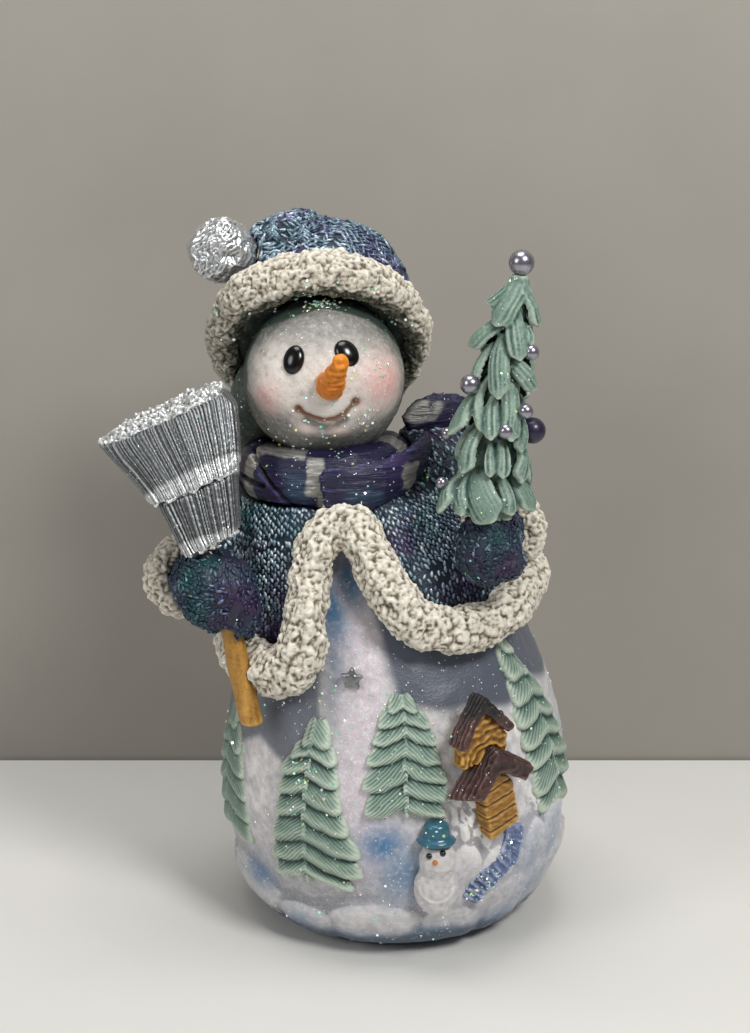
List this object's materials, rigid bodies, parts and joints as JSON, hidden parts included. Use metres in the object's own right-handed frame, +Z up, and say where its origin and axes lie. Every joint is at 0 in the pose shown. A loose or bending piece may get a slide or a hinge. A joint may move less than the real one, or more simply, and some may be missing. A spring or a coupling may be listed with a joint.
{
  "type": "snowman figurine",
  "caption": "Cast resin snowman figurine in a fur-edged coat and knitted hat, with a broom, a little tree and a winter scene in relief; stands on a flat base.",
  "frame": {"origin": "middle of the flat underside", "axes": "+Z up, the figure faces -Y and +X is at the right as one looks at its face"},
  "size_m": [0.1136, 0.0933, 0.1776],
  "materials": {
    "snow": "pearly white paint with glitter",
    "face": "pearly white paint, blushed cheeks",
    "fur": "cream paint with a brown-grey wash, lumpy",
    "knit": "steel-blue metallic over navy and purple, knitted relief",
    "mitten": "navy with purple, knitted relief",
    "scarf": "indigo paint with silver-grey stripes",
    "lining": "dark grey-green paint",
    "silver": "metallic silver paint with a dark wash",
    "ochre": "ochre paint with a dark wash",
    "leaf": "sage green paint with frosted ridges",
    "roof": "dark brown paint, grooved",
    "path": "blue-lilac paint",
    "small_hat": "teal-blue paint",
    "carrot": "orange paint with ring grooves",
    "eye": "glossy black enamel",
    "bead": "silver-lilac glittered paint",
    "bauble": "dark purple paint"
  },
  "bodies": {
    "root": {"snow_body": "snow", "head": "face", "left_eye": "eye", "right_eye": "eye", "carrot_nose": "carrot", "hat_crown": "knit", "hat_lining": "lining", "hat_fur": "fur", "pompom": "silver", "scarf_wrap": "scarf", "scarf_overlap": "scarf", "scarf_tail": "scarf", "coat": "knit", "coat_fur": "fur", "left_cuff": "fur", "right_cuff": "fur", "left_mitten": "mitten", "right_mitten": "mitten", "broom_handle": "ochre", "broom_lower_bristles": "silver", "broom_upper_bristles": "silver", "held_tree": "leaf", "top_bead": "bead", "bead_1": "bead", "bead_2": "bead", "bead_3": "bead", "bead_4": "bead", "bead_5": "bead", "bead_6": "bead", "purple_bauble": "bauble", "winter_tree_left": "leaf", "winter_tree_middle": "leaf", "winter_tree_right": "leaf", "winter_tree_far_left": "leaf", "cottage_upper_walls": "ochre", "cottage_upper_roof": "roof", "cottage_lower_roof": "roof", "cottage_door": "ochre", "garden_path": "path", "small_snowman": "snow", "small_snowman_hat": "small_hat", "star": "silver"}
  },
  "joints": []
}
